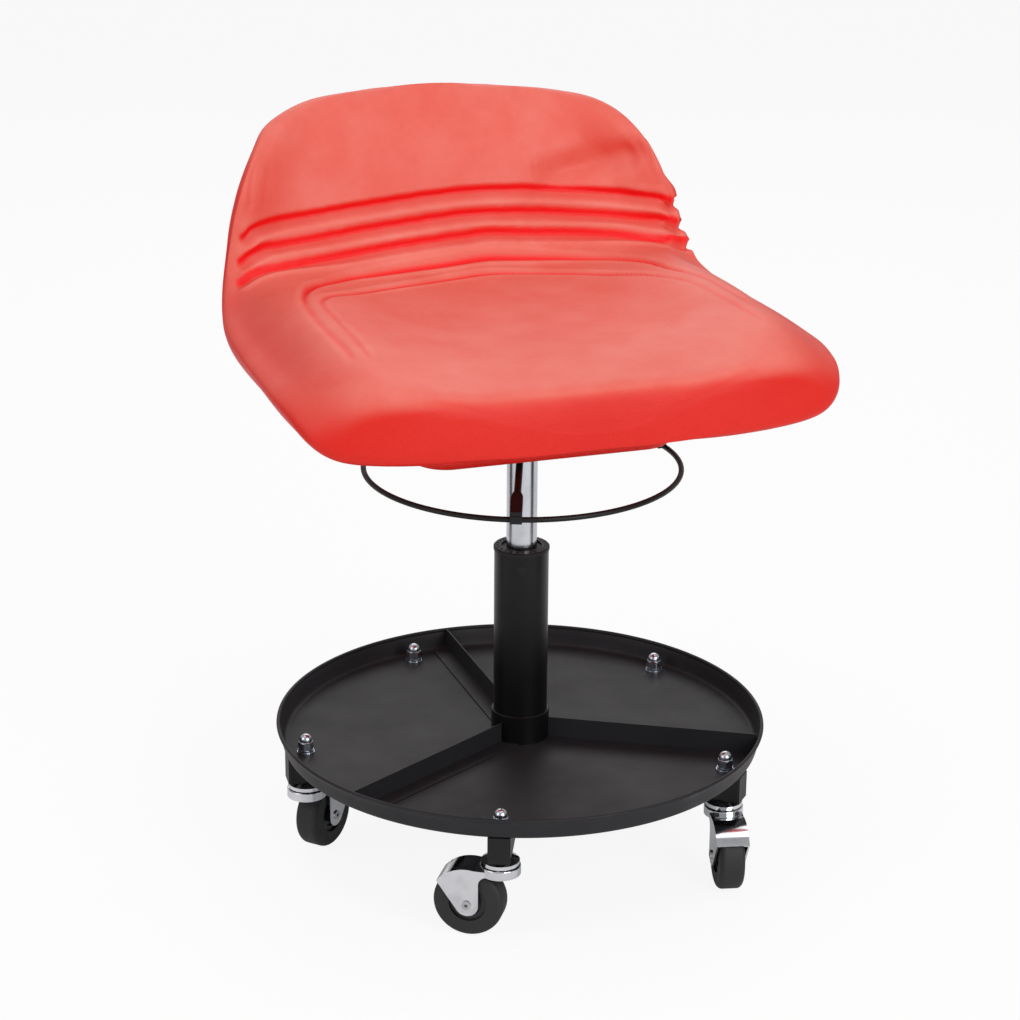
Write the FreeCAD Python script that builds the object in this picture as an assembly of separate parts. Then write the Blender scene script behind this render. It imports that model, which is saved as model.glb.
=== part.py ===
import FreeCAD, Part
import math
import os

os.makedirs("parts", exist_ok=True)

V = FreeCAD.Vector
X = V(1, 0, 0)
Y = V(0, 1, 0)
Z = V(0, 0, 1)
ORIGIN = V(0, 0, 0)
FULL_TURN = 360
HEXAGON_SIDES = 6

# All sizes are in millimetres and degrees. The origin is on the floor under the
# column, +Z is up and the sitter faces -Y. Heights are above the floor.

# Fits
running_gap = 0.05          # radial, shafts that turn or slide
body_gap = 0.3              # between faces of bodies that move past each other
bolt_hole_gap = 0.25        # radial, bolts in plain holes

# Casters
caster_count = 5
pivot_inset = 14.5          # from the edge of the tray floor
first_pivot_angle = -114.0
trail_angles = [147.0, -103.0, 75.0, 158.0, 42.0]
trail = 27.0
wheel_radius = 31.75
wheel_width = 23.0
tread_edge_radius = 5.0
hub_radius = 17.0
hub_width = 18.0
hub_boss_radius = 8.0
hub_boss_width = 26.2
hub_dish_radius = 12.5
hub_dish_depth = 2.0
axle_radius = 3.2
axle_head_radius = 4.2
axle_head_height = 1.4
axle_bore_radius = 1.6
axle_bore_depth = 3.0
fork_half_width = 15.0
fork_sheet = 1.5
hood_radius = 34.4
hood_tail_angle = 37.0
hood_crest_angle = 100.0
lug_radius = 10.5
head_radius = 18.0
head_top = 69.0
head_skirt_bottom = 60.5
head_edge_radius = 1.2
fork_corner_radius = 8.0
kingpin_radius = 5.0
kingpin_head_radius = 8.0
kingpin_head_height = 3.2
cup_radius = 17.0
cup_slope_radius = 11.5
cup_slope_height = 3.2
cup_race_inner_radius = 9.0
cup_race_outer_radius = 14.5
cup_rim_gap = 1.0
ball_radius = 2.0
caster_ball_count = 12
stem_bolt_radius = 4.0

# Star base and tray
leg_width = 20.0
leg_height = 25.0
leg_wall = 1.5
leg_end = 18.0              # beyond the pivot
leg_bottom = 76.5
leg_cap_thickness = 2.0
leg_cap_plug = 8.0
hub_tube_radius = 27.0
hub_tube_rise = 29.0
hub_tube_edge = 0.8
tray_sheet = 1.5
tray_floor_radius = 217.0
tray_corner_radius = 5.0
tray_wall_flare = 8.2
tray_bead_radius = 1.8
tray_height = 21.0
tray_wall_lean = 14.0
divider_angles = [90.0, 210.0, 330.0]
divider_sheet = 1.2
divider_flange = 17.0
divider_top_gap = 2.8
divider_toe = 4.5
divider_drop = 0.2

# Wheel bolts on the tray floor
washer_radius = 8.0
washer_height = 1.6
spring_washer_radius = 7.4
spring_washer_height = 2.0
spring_washer_slot = 1.0
nut_flats = 13.0
nut_hex_height = 8.0
nut_dome_radius = 6.1
nut_height = 15.0
nut_bore_depth = 11.0
nut_chamfer = 0.8

# Column and gas spring
column_radius = 25.0
column_wall = 2.0
column_bottom = 78.0
column_top = 288.0
column_plate = 6.0
snap_hole_radius = 4.0
snap_hole_height = 275.0
snap_hole_angle = -109.5
snap_hole_depth = 6.0
bush_length = 70.0
bush_flange_radius = 25.7
bush_flange_height = 3.6
bush_flange_edge = 0.8
bush_notch_count = 24
bush_notch_width = 1.4
bush_notch_depth = 0.9
bush_notch_inner = 20.5
bush_notch_outer = 24.0
bush_recess_radius = 18.5
bush_recess_depth = 1.6
stem_radius = 14.0
stem_wall = 1.5
stem_bottom = 230.0
stem_top = 412.0
rod_radius = 5.0
rod_bottom = 72.0
rod_guide_length = 12.0
piston_height = 12.0
piston_lift = 1.5
rod_tip = 1.5
race_radius = 16.0
race_height = 2.0
thrust_ball_pitch = 11.0
thrust_ball_count = 10
bumper_radius = 8.5
bumper_height = 4.0
rod_clip_radius = 9.0
rod_clip_height = 2.5
valve_length = 14.0
valve_radius = 4.0
valve_rise = 4.6
valve_dome = 1.5

# Seat mounting, inside the pocket of the cushion's underside
press_gap = 0.4
lever_sheet = 3.0
lever_inner_radius = 22.0
lever_outer_radius = 46.0
lever_bar_width = 11.0
fulcrum_distance = 50.0
fulcrum_rise = 1.5
fulcrum_pin_radius = 2.5
fulcrum_pin_length = 28.0
fulcrum_eye_radius = 4.8
fulcrum_eye_length = 18.0
fulcrum_lug_width = 9.0
fulcrum_lug_thickness = 3.0
fulcrum_lug_drop = 5.5
socket_radius = 17.5
socket_bottom = 404.0
window_width = 14.0
window_top = 423.5
mount_plate_bottom = 428.5
mount_plate_half = 60.0
mount_plate_sheet = 3.0
mount_plate_corner = 12.0
seat_plate_half = 72.0
seat_plate_sheet = 3.0
seat_plate_corner = 20.0
mount_bolt_spread = 46.0
mount_bolt_length = 26.0
mount_bolt_head = 5.3

# Release ring
ring_radius = 143.6
ring_drop = 49.5            # below the lever
ring_wire_radius = 2.5
arm_wire_radius = 3.25
arm_angles = [-111.5, 8.5, 128.5]
arm_top_radius = 40.0
arm_knee_radius = 53.0
arm_knee_drop = 19.0
clip_length = 24.0
clip_width = 10.5
clip_height = 8.0
clip_nose_share = 0.62
clip_overhang = 4.0
clip_foot = 4.2

# Seat cushion
# Each station of the cushion: position of the sitting surface on the centre line
# (y, z) and the tilt of that surface, then for the right-hand side of the section
# the crown, the roll, the widest point, the lower edge and the underside, each as
# (x, offset). Offsets are square to the surface, towards the sitter.
seat_stations = [
    (-193.5, 461.0, 0.0, (29, 0.0), (40, 0.0), (47.5, -6.0), (44.5, -14.5), (35.5, -16.5)),
    (-192.0, 472.5, 0.0, (61, 0.0), (80, -2.0), (90, -15.0), (86, -25.0), (74.5, -28.5)),
    (-189.0, 484.0, 0.0, (96, 0.0), (119, -5.0), (130, -26.0), (126, -35.0), (111.5, -39.5)),
    (-184.5, 492.0, 0.0, (122, 0.0), (150, -8.0), (164, -35.5), (160, -43.5), (142, -48.5)),
    (-178.0, 496.0, 0.0, (142, 1.0), (174.5, -11.0), (193.5, -41.0), (189.5, -48.5),
     (168.5, -54.0)),
    (-166.5, 498.5, 0.0, (162, 3.0), (201, -13.0), (223, -42.5), (219, -50.0), (193, -57.0)),
    (-149.0, 500.0, 0.0, (178, 7.0), (218, -11.5), (240, -34.0), (236, -44.0), (208, -57.5)),
    (-120.0, 501.5, 0.0, (188, 12.0), (229, -9.0), (249, -23.5), (245, -35.0), (216, -57.0)),
    (-75.0, 502.0, 0.0, (194, 16.0), (235, -7.0), (253.5, -19.0), (248, -32.0), (219, -58.0)),
    (-10.0, 502.5, 0.0, (195.5, 17.0), (235, -7.5), (253.0, -17.5), (247, -31.5), (218, -59.5)),
    (60.0, 503.0, 0.0, (194.5, 16.0), (233, -8.5), (249.5, -17.5), (244.5, -34.0), (215, -61.5)),
    (120.0, 503.5, 3.0, (190, 14.0), (227.5, -6.0), (243, -15.0), (238, -35.5), (209.5, -63.5)),
    (155.0, 505.5, 12.0, (185.5, 12.0), (221, -0.5), (235.5, -9.0), (231.5, -33.0),
     (203, -62.5)),
    (182.0, 514.0, 27.0, (181, 11.0), (213.5, 7.0), (227, 0.0), (223, -27.0), (195.5, -57.5)),
    (200.0, 532.0, 45.0, (177, 9.5), (207, 16.5), (219.5, 12.5), (215.5, -18.5), (189.5, -49.0)),
    (212.5, 553.0, 61.0, (173, 9.5), (202, 26.0), (214.5, 23.5), (210.5, -10.0), (185, -41.0)),
    (221.5, 577.0, 67.0, (167, 9.0), (194, 30.5), (206.5, 28.5), (203.5, -5.0), (178, -36.0)),
    (230.0, 599.0, 68.0, (157.5, 9.0), (184, 30.0), (196.5, 28.5), (193.5, -4.0),
     (168, -33.0)),
    (239.0, 618.0, 67.0, (144.5, 8.0), (172, 25.5), (184.5, 22.0), (181.5, -4.5), (156, -30.5)),
    (248.5, 633.5, 63.0, (124.5, 4.5), (155.5, 16.0), (169.5, 10.0), (166.5, -8.0),
     (141.5, -28.0)),
    (257.5, 646.5, 58.0, (99.5, 1.0), (129.5, 5.5), (146.5, -2.0), (143.5, -11.0),
     (120.5, -25.0)),
    (264.5, 656.0, 56.0, (72, -3.0), (99.5, -4.5), (115, -10.0), (112, -14.0), (94, -22.0)),
    (269.5, 662.5, 56.0, (40, -8.0), (60, -12.0), (70.5, -16.0), (68.5, -18.0), (56.5, -20.5)),
]
dish_width_share = 0.55
dish_rise_share = 0.3
boss_half_x = 116.0
boss_half_y = 97.0
boss_corner = 46.0
boss_bottom = 399.5
boss_edge = 11.0
boss_root = 455.0
pocket_half = 75.0
pocket_corner = 24.0
# Channels pressed into the backrest, right-hand half as (x, z) from the side to the
# middle, as they are drawn on the backrest seen from the front.
back_channels = [
    [(208.0, 547.0), (197.0, 557.5), (176.0, 562.5), (145.0, 565.5), (110.0, 568.0),
     (60.0, 571.0), (0.0, 572.0)],
    [(214.0, 527.0), (204.0, 536.0), (186.0, 540.0), (145.0, 544.5), (110.0, 547.5),
     (60.0, 551.0), (0.0, 552.0)],
    [(219.5, 510.5), (209.0, 517.5), (192.0, 522.0), (150.0, 526.5), (110.0, 529.5),
     (60.0, 533.5), (0.0, 535.0)],
]
back_channel_radius = 4.6
back_channel_lift = 0.6
# U-shaped channels pressed into the pan, right-hand half as (x, y) from the front to
# the middle, as they are drawn on the pan seen from above.
pan_channels = [
    [(192.0, -110.0), (185.0, -25.0), (175.0, 78.0), (168.0, 108.0), (154.0, 132.0),
     (130.0, 152.0), (95.0, 167.0), (50.0, 177.0), (0.0, 180.0)],
    [(176.0, -108.0), (172.0, -45.0), (166.0, 40.0), (161.0, 74.0), (150.0, 92.0),
     (128.0, 108.0), (80.0, 137.0), (40.0, 150.0), (0.0, 155.0)],
]
pan_channel_radius = 4.0
pan_channel_lift = 1.2


def save(name, shape):
    shape.exportStep("parts/" + name + ".step")
    box = shape.BoundBox
    solids = len(shape.Solids)
    print(name, solids, shape.isValid(), round(box.XLength, 1), round(box.YLength, 1),
          round(box.ZLength, 1))


def group(shapes):
    return Part.makeCompound(shapes)


def cylinder(radius, bottom, top, at=ORIGIN):
    return Part.makeCylinder(radius, top - bottom, V(at.x, at.y, bottom), Z)


def tube(outer, inner, bottom, top, at=ORIGIN):
    return cylinder(outer, bottom, top, at).cut(cylinder(inner, bottom, top, at))


def cross_rod(radius, half_length, centre, direction):
    start = centre - direction * half_length
    return Part.makeCylinder(radius, half_length + half_length, start, direction)


def plate(half_x, half_y, corner, bottom, top):
    box = Part.makeBox(half_x + half_x, half_y + half_y, top - bottom,
                       V(-half_x, -half_y, bottom))
    upright = [e for e in box.Edges if e.BoundBox.ZLength > (top - bottom) / 2]
    return box.makeFillet(corner, upright)


def revolved(points):
    wire = Part.makePolygon([V(r, 0, z) for r, z in points + points[:1]])
    return Part.Face(wire).revolve(ORIGIN, Z, FULL_TURN)


def flat_direction(angle):
    return V(math.cos(math.radians(angle)), math.sin(math.radians(angle)), 0)


def hexagon(flats, bottom, top, at=ORIGIN):
    reach = flats / math.sqrt(3)
    corners = [V(at.x, at.y, bottom) + flat_direction(k * FULL_TURN / HEXAGON_SIDES) * reach
               for k in range(HEXAGON_SIDES)]
    face = Part.Face(Part.makePolygon(corners + corners[:1]))
    return face.extrude(V(0, 0, top - bottom))


def turned(shape, angle, at=ORIGIN):
    copy = shape.copy()
    copy.rotate(ORIGIN, Z, angle)
    copy.translate(at)
    return copy


# Reaches and heights that follow from the sizes above
pivot_radius = tray_floor_radius - pivot_inset
leg_reach = pivot_radius + leg_end
tray_wall_top_radius = tray_floor_radius + tray_wall_flare
divider_top_reach = tray_wall_top_radius - divider_top_gap
pivot_angles = [first_pivot_angle + k * FULL_TURN / caster_count for k in range(caster_count)]
pivots = [flat_direction(a) * pivot_radius for a in pivot_angles]
leg_top = leg_bottom + leg_height
tray_floor = leg_top + tray_sheet
tray_rim = leg_top + tray_height
nut_bottom = tray_floor + washer_height + spring_washer_height


# Casters
def wheel_parts():
    axis = V(trail, 0, wheel_radius)
    tyre = cross_rod(wheel_radius, wheel_width / 2, axis, Y)
    tyre = tyre.makeFillet(tread_edge_radius, [e for e in tyre.Edges if e.Closed])
    tyre = tyre.cut(cross_rod(hub_radius, wheel_width / 2, axis, Y))
    hub = cross_rod(hub_radius, hub_width / 2, axis, Y)
    for side in (-1, 1):
        face = axis + Y * (side * hub_width / 2)
        dish = cross_rod(hub_dish_radius, hub_dish_depth, face, Y)
        hub = hub.cut(dish)
    hub = hub.fuse(cross_rod(hub_boss_radius, hub_boss_width / 2, axis, Y))
    hub = hub.cut(cross_rod(axle_radius + running_gap, hub_boss_width, axis, Y))
    return tyre, hub


def fork_shape():
    axis = V(trail, 0, wheel_radius)
    tail = math.radians(hood_tail_angle)
    crest = math.radians(hood_crest_angle)
    front_x = trail - lug_radius

    def on_hood(angle):
        return V(trail + hood_radius * math.cos(angle), -fork_half_width,
                 wheel_radius + hood_radius * math.sin(angle))

    tail_point = on_hood(tail)
    crest_point = on_hood(crest)
    mid_point = on_hood((tail + crest) / 2)
    # the straight rear edge touches the rounded lug round the axle
    reach = math.hypot(tail_point.x - trail, tail_point.z - wheel_radius)
    lean = math.atan2(tail_point.z - wheel_radius, tail_point.x - trail)
    touch = lean - math.acos(lug_radius / reach)
    rear = V(trail + lug_radius * math.cos(touch), -fork_half_width,
             wheel_radius + lug_radius * math.sin(touch))
    low_angle = (touch - math.pi) / 2
    low = V(trail + lug_radius * math.cos(low_angle), -fork_half_width,
            wheel_radius + lug_radius * math.sin(low_angle))
    front = V(front_x, -fork_half_width, wheel_radius)
    turn_low = V(front_x, -fork_half_width, head_skirt_bottom - fork_corner_radius)
    turn_in = V(front_x - fork_corner_radius, -fork_half_width, head_skirt_bottom)
    bend = fork_corner_radius * (1 - math.sqrt(1 / 2))
    turn_mid = V(front_x - bend, -fork_half_width, head_skirt_bottom - bend)
    back = V(0, -fork_half_width, head_skirt_bottom)
    top = V(0, -fork_half_width, crest_point.z)
    edges = [
        Part.LineSegment(top, crest_point), Part.Arc(crest_point, mid_point, tail_point),
        Part.LineSegment(tail_point, rear), Part.Arc(rear, low, front),
        Part.LineSegment(front, turn_low), Part.Arc(turn_low, turn_mid, turn_in),
        Part.LineSegment(turn_in, back), Part.LineSegment(back, top),
    ]
    outline = Part.Wire([e.toShape() for e in edges])
    side = Part.Face(outline)
    body = side.extrude(V(0, fork_half_width + fork_half_width, 0))
    head = cylinder(head_radius, head_skirt_bottom, head_top)
    head = head.makeFillet(head_edge_radius, [
        e for e in head.Edges if e.Closed and e.BoundBox.ZMin > head_skirt_bottom])
    inner_half = fork_half_width - fork_sheet
    body = body.fuse(head)
    body = body.cut(cross_rod(hood_radius - fork_sheet, inner_half, axis, Y))
    hollow = cylinder(head_radius - fork_sheet, head_skirt_bottom, head_top - fork_sheet)
    behind = Part.makeBox(head_radius, hood_radius, hood_radius,
                          V(trail - lug_radius, -fork_half_width, head_skirt_bottom))
    body = body.cut(hollow.cut(behind))
    body = body.cut(cylinder(kingpin_radius + running_gap, head_skirt_bottom, head_top))
    body = body.cut(cross_rod(axle_radius, fork_half_width + fork_half_width, axis, Y))
    return body


def axle_shape():
    axis = V(trail, 0, wheel_radius)
    reach = fork_half_width + axle_head_height
    axle = cross_rod(axle_radius, reach, axis, Y)
    for side in (-1, 1):
        middle = axis + Y * (side * (fork_half_width + axle_head_height / 2))
        axle = axle.fuse(cross_rod(axle_head_radius, axle_head_height / 2, middle, Y))
    for side in (-1, 1):
        end = axis + Y * (side * reach)
        axle = axle.cut(cross_rod(axle_bore_radius, axle_bore_depth, end, Y))
    return axle


tyre, hub = wheel_parts()
fork = fork_shape()
axle = axle_shape()
for k in range(caster_count):
    number = str(k + 1)
    save("caster" + number + "_fork", turned(fork, trail_angles[k], pivots[k]))
    save("caster" + number + "_axle", turned(axle, trail_angles[k], pivots[k]))
    save("caster" + number + "_tyre", turned(tyre, trail_angles[k], pivots[k]))
    save("caster" + number + "_hub", turned(hub, trail_angles[k], pivots[k]))

rim_bottom = head_top + cup_rim_gap
race_top = head_top + body_gap + ball_radius + ball_radius
cup = revolved([
    (kingpin_radius, leg_bottom), (cup_slope_radius, leg_bottom),
    (cup_radius, leg_bottom - cup_slope_height), (cup_radius, rim_bottom),
    (cup_race_outer_radius, rim_bottom), (cup_race_outer_radius, race_top),
    (cup_race_inner_radius, race_top), (cup_race_inner_radius, rim_bottom),
    (kingpin_radius, rim_bottom),
])
kingpin_top = head_top - fork_sheet - body_gap
kingpin = cylinder(kingpin_radius, kingpin_top - kingpin_head_height, leg_bottom)
kingpin = kingpin.fuse(cylinder(kingpin_head_radius, kingpin_top - kingpin_head_height,
                                kingpin_top))
bolt_top = nut_bottom + nut_bore_depth - running_gap
stem_bolt = kingpin.fuse(cylinder(stem_bolt_radius, leg_bottom, bolt_top))
ball_pitch = (cup_race_inner_radius + cup_race_outer_radius) / 2
balls = []
for k in range(caster_ball_count):
    spot = flat_direction(k * FULL_TURN / caster_ball_count) * ball_pitch
    balls.append(Part.makeSphere(ball_radius, V(spot.x, spot.y, race_top - ball_radius)))
save("caster_cups", group([turned(cup, 0, p) for p in pivots]))
save("caster_stem_bolts", group([turned(stem_bolt, 0, p) for p in pivots]))
save("caster_balls", group([turned(b, 0, p) for p in pivots for b in balls]))

# Star base
hub_tube = tube(hub_tube_radius, column_radius, leg_bottom, leg_top + hub_tube_rise)
hub_tube = hub_tube.makeChamfer(hub_tube_edge, [
    e for e in hub_tube.Edges if e.Closed and e.BoundBox.ZMin > leg_top
    and e.BoundBox.XMax > column_radius + hub_tube_edge])
save("hub_tube", hub_tube)

tube_end = leg_reach - leg_cap_thickness
leg = Part.makeBox(tube_end, leg_width, leg_height, V(0, -leg_width / 2, leg_bottom))
leg = leg.cut(Part.makeBox(tube_end, leg_width - leg_wall - leg_wall,
                           leg_height - leg_wall - leg_wall,
                           V(0, leg_wall - leg_width / 2, leg_bottom + leg_wall)))
leg = leg.cut(cylinder(hub_tube_radius, leg_bottom, leg_top))
leg = leg.cut(cylinder(stem_bolt_radius + bolt_hole_gap, leg_bottom, leg_top,
                       V(pivot_radius, 0, 0)))
cap = Part.makeBox(leg_cap_thickness, leg_width, leg_height,
                   V(tube_end, -leg_width / 2, leg_bottom))
cap = cap.fuse(Part.makeBox(leg_cap_plug, leg_width - leg_wall - leg_wall,
                            leg_height - leg_wall - leg_wall,
                            V(tube_end - leg_cap_plug, leg_wall - leg_width / 2,
                              leg_bottom + leg_wall)))
for k in range(caster_count):
    save("leg_" + str(k + 1), turned(leg, pivot_angles[k]))
save("leg_end_caps", group([turned(cap, a) for a in pivot_angles]))

# Tray
corner_centre = V(tray_floor_radius, 0, leg_top + tray_corner_radius)
wall_lean = math.radians(tray_wall_lean)
bead_centre = V(tray_wall_top_radius, 0, tray_rim - tray_bead_radius)


def corner_point(radius, angle):
    return corner_centre + V(radius * math.sin(angle), 0, -radius * math.cos(angle))


turn = math.pi / 2 - wall_lean
inner_corner = tray_corner_radius - tray_sheet
out_end = corner_point(tray_corner_radius, turn)
in_end = corner_point(inner_corner, turn)
out_top = bead_centre + V(tray_sheet / 2, 0, 0)
in_top = bead_centre - V(tray_sheet / 2, 0, 0)
tray_edges = [
    Part.LineSegment(V(hub_tube_radius, 0, leg_top), V(tray_floor_radius, 0, leg_top)),
    Part.Arc(V(tray_floor_radius, 0, leg_top), corner_point(tray_corner_radius, turn / 2),
             out_end),
    Part.LineSegment(out_end, out_top), Part.LineSegment(out_top, in_top),
    Part.LineSegment(in_top, in_end),
    Part.Arc(in_end, corner_point(inner_corner, turn / 2),
             V(tray_floor_radius, 0, tray_floor)),
    Part.LineSegment(V(tray_floor_radius, 0, tray_floor), V(hub_tube_radius, 0, tray_floor)),
    Part.LineSegment(V(hub_tube_radius, 0, tray_floor), V(hub_tube_radius, 0, leg_top)),
]
tray = Part.Face(Part.Wire([e.toShape() for e in tray_edges])).revolve(ORIGIN, Z, FULL_TURN)
tray = tray.fuse(Part.makeTorus(tray_wall_top_radius, tray_bead_radius,
                                V(0, 0, bead_centre.z), Z))
for p in pivots:
    tray = tray.cut(cylinder(stem_bolt_radius + bolt_hole_gap, leg_top, tray_rim, p))

web_top = tray_rim - divider_drop
web_points = [
    (0, tray_floor), (tray_floor_radius, tray_floor),
    (tray_floor_radius + divider_toe - divider_sheet, tray_floor + divider_toe),
    (divider_top_reach, tray_rim - tray_corner_radius), (divider_top_reach, web_top),
    (0, web_top),
]
web_wire = Part.makePolygon([V(x, -divider_sheet / 2, z) for x, z in
                             web_points + web_points[:1]])
divider = Part.Face(web_wire).extrude(V(0, divider_sheet, 0))
divider = divider.fuse(Part.makeBox(tray_floor_radius, divider_flange, divider_sheet,
                                    V(0, -divider_sheet / 2, tray_floor)))
divider = divider.cut(cylinder(hub_tube_radius, leg_bottom, tray_rim + hub_tube_rise))
divider = divider.common(cylinder(tray_floor_radius, tray_floor, tray_floor + divider_sheet)
                         .fuse(cylinder(tray_wall_top_radius, tray_floor + divider_sheet,
                                        tray_rim)))
dividers = [turned(divider, a) for a in divider_angles]
save("tray_dividers", group(dividers))

washer = tube(washer_radius, stem_bolt_radius + bolt_hole_gap, tray_floor,
              tray_floor + washer_height)
washers = [turned(washer, 0, p) for p in pivots]
# the floor is split along everything that stands on it, so each compartment is a face
split = tray.generalFuse(dividers + washers)[0]
tray = max(split.Solids, key=lambda s: s.BoundBox.XLength)
save("tray", tray)
save("tray_washers", group(washers))

spring_bottom = tray_floor + washer_height
spring_washer = tube(spring_washer_radius, stem_bolt_radius + running_gap, spring_bottom,
                     nut_bottom)
spring_washer = spring_washer.cut(Part.makeBox(
    spring_washer_radius, spring_washer_slot, spring_washer_height,
    V(0, -spring_washer_slot / 2, spring_bottom)))
save("tray_spring_washers", group([turned(spring_washer, a, p)
                                   for a, p in zip(pivot_angles, pivots)]))

nut = hexagon(nut_flats, nut_bottom, nut_bottom + nut_hex_height)
trim = cylinder(nut_flats / math.sqrt(3) - nut_chamfer / 2, nut_bottom,
                nut_bottom + nut_hex_height)
trim = trim.makeChamfer(nut_chamfer, [e for e in trim.Edges if e.Closed])
nut = nut.common(trim)
dome_base = nut_bottom + nut_height - nut_dome_radius
nut = nut.fuse(cylinder(nut_dome_radius, nut_bottom, dome_base))
nut = nut.fuse(Part.makeSphere(nut_dome_radius, V(0, 0, dome_base)))
nut = nut.cut(cylinder(stem_bolt_radius, nut_bottom, nut_bottom + nut_bore_depth))
save("tray_acorn_nuts", group([turned(nut, a, p) for a, p in zip(pivot_angles, pivots)]))

# Column, fixed half
column_bore = column_radius - column_wall
snap = flat_direction(snap_hole_angle)
snap_rod = cross_rod(snap_hole_radius, column_radius + snap_hole_depth,
                     V(0, 0, snap_hole_height), snap)
column = tube(column_radius, column_bore, column_bottom, column_top)
snap_nubs = column.common(snap_rod)
column = column.cut(snap_rod)
save("column_tube", column)
plate_top = column_bottom + column_plate
save("column_bottom_plate", tube(column_bore, rod_radius + running_gap, column_bottom,
                                 plate_top))

bush = tube(column_bore, stem_radius + running_gap, column_top - bush_length, column_top)
flange = tube(bush_flange_radius, stem_radius + running_gap, column_top,
              column_top + bush_flange_height)
flange = flange.makeChamfer(bush_flange_edge, [
    e for e in flange.Edges if e.Closed and e.BoundBox.ZMin > column_top
    and e.BoundBox.XMax > column_radius])
bush = bush.fuse(flange).fuse(snap_nubs)
flange_top = column_top + bush_flange_height
bush = bush.cut(cylinder(bush_recess_radius, flange_top - bush_recess_depth, flange_top))
notch = Part.makeBox(bush_notch_outer - bush_notch_inner, bush_notch_width, bush_notch_depth,
                     V(bush_notch_inner, -bush_notch_width / 2, flange_top - bush_notch_depth))
bush = bush.cut(group([turned(notch, k * FULL_TURN / bush_notch_count)
                       for k in range(bush_notch_count)]))
save("guide_bush", bush)

lower_race_top = plate_top + race_height
ball_top = lower_race_top + ball_radius + ball_radius
save("thrust_lower_race", tube(race_radius, bumper_radius, plate_top, lower_race_top))
thrust_balls = []
for k in range(thrust_ball_count):
    spot = flat_direction(k * FULL_TURN / thrust_ball_count) * thrust_ball_pitch
    thrust_balls.append(Part.makeSphere(ball_radius, V(spot.x, spot.y,
                                                       lower_race_top + ball_radius)))
save("thrust_balls", group(thrust_balls))

# Piston rod
guide_top = stem_bottom + rod_guide_length
piston_bottom = guide_top + piston_lift
piston_top = piston_bottom + piston_height
save("piston_rod", cylinder(rod_radius, rod_bottom, piston_top + rod_tip))
stem_bore = stem_radius - stem_wall
save("gas_piston", tube(stem_bore - running_gap, rod_radius, piston_bottom, piston_top))
upper_race_bottom = ball_top + body_gap
upper_race_top = upper_race_bottom + race_height
save("thrust_upper_race", tube(race_radius, rod_radius, upper_race_bottom, upper_race_top))
save("rod_bumper", tube(bumper_radius, rod_radius, upper_race_top,
                        upper_race_top + bumper_height))
save("rod_clip", tube(rod_clip_radius, rod_radius,
                      column_bottom - body_gap - rod_clip_height, column_bottom - body_gap))

# Stem and valve
save("stem_tube", tube(stem_radius, stem_bore, stem_bottom, stem_top))
save("rod_guide", tube(stem_bore, rod_radius + running_gap, stem_bottom, guide_top))
save("valve_housing", tube(stem_bore, valve_radius + running_gap, stem_top - valve_length,
                           stem_top))
button_top = stem_top + valve_rise
button = cylinder(valve_radius, stem_top - valve_length + body_gap, button_top)
button = button.makeChamfer(valve_dome, [e for e in button.Edges
                                         if e.Closed and e.BoundBox.ZMin > stem_top])
save("valve_button", button)

# Seat mounting
front_arm = flat_direction(arm_angles[0])
across = V(front_arm.y, -front_arm.x, 0)
lever_bottom = button_top + press_gap
lever_top = lever_bottom + lever_sheet
ring_height = lever_bottom - ring_drop
fulcrum = front_arm * fulcrum_distance + V(0, 0, lever_bottom + fulcrum_rise)


def along_front(length_start, length_end, width, bottom, top):
    box = Part.makeBox(length_end - length_start, width, top - bottom,
                       V(length_start, -width / 2, bottom))
    return turned(box, arm_angles[0])


socket = tube(socket_radius, stem_radius, socket_bottom, mount_plate_bottom)
window = along_front(-socket_radius, socket_radius, window_width, stem_top, window_top)
socket = socket.cut(window)
mount_top = mount_plate_bottom + mount_plate_sheet
mount = plate(mount_plate_half, mount_plate_half, mount_plate_corner, mount_plate_bottom,
              mount_top)
mount = mount.fuse(socket)
lug_gap = fulcrum_eye_length / 2 + body_gap
for side in (-1, 1):
    centre = side * (lug_gap + fulcrum_lug_thickness / 2)
    lug = Part.makeBox(fulcrum_lug_width, fulcrum_lug_thickness,
                       mount_plate_bottom - fulcrum.z + fulcrum_lug_drop,
                       V(fulcrum_distance - fulcrum_lug_width / 2,
                         centre - fulcrum_lug_thickness / 2, fulcrum.z - fulcrum_lug_drop))
    mount = mount.fuse(turned(lug, arm_angles[0]))
mount = mount.cut(cross_rod(fulcrum_pin_radius, fulcrum_pin_length, fulcrum, across))
bolt_spots = [V(sx * mount_bolt_spread, sy * mount_bolt_spread, 0)
              for sx in (-1, 1) for sy in (-1, 1)]
seat_plate_top = mount_top + seat_plate_sheet
seat_plate = plate(seat_plate_half, seat_plate_half, seat_plate_corner, mount_top,
                   seat_plate_top)
for spot in bolt_spots:
    hole = cylinder(stem_bolt_radius + bolt_hole_gap, mount_plate_bottom, seat_plate_top, spot)
    mount = mount.cut(hole)
    seat_plate = seat_plate.cut(hole)
save("seat_mount", mount)
save("seat_plate", seat_plate)
save("fulcrum_pin", cross_rod(fulcrum_pin_radius, fulcrum_pin_length / 2, fulcrum, across))

head_high = mount_plate_bottom - washer_height
bolt = hexagon(nut_flats, head_high - mount_bolt_head, head_high)
bolt = bolt.fuse(cylinder(stem_bolt_radius, head_high, head_high + mount_bolt_length))
seat_washer = tube(washer_radius, stem_bolt_radius + bolt_hole_gap, head_high,
                   mount_plate_bottom)
save("seat_bolts", group([turned(bolt, 0, s) for s in bolt_spots]))
save("seat_bolt_washers", group([turned(seat_washer, 0, s) for s in bolt_spots]))

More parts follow.
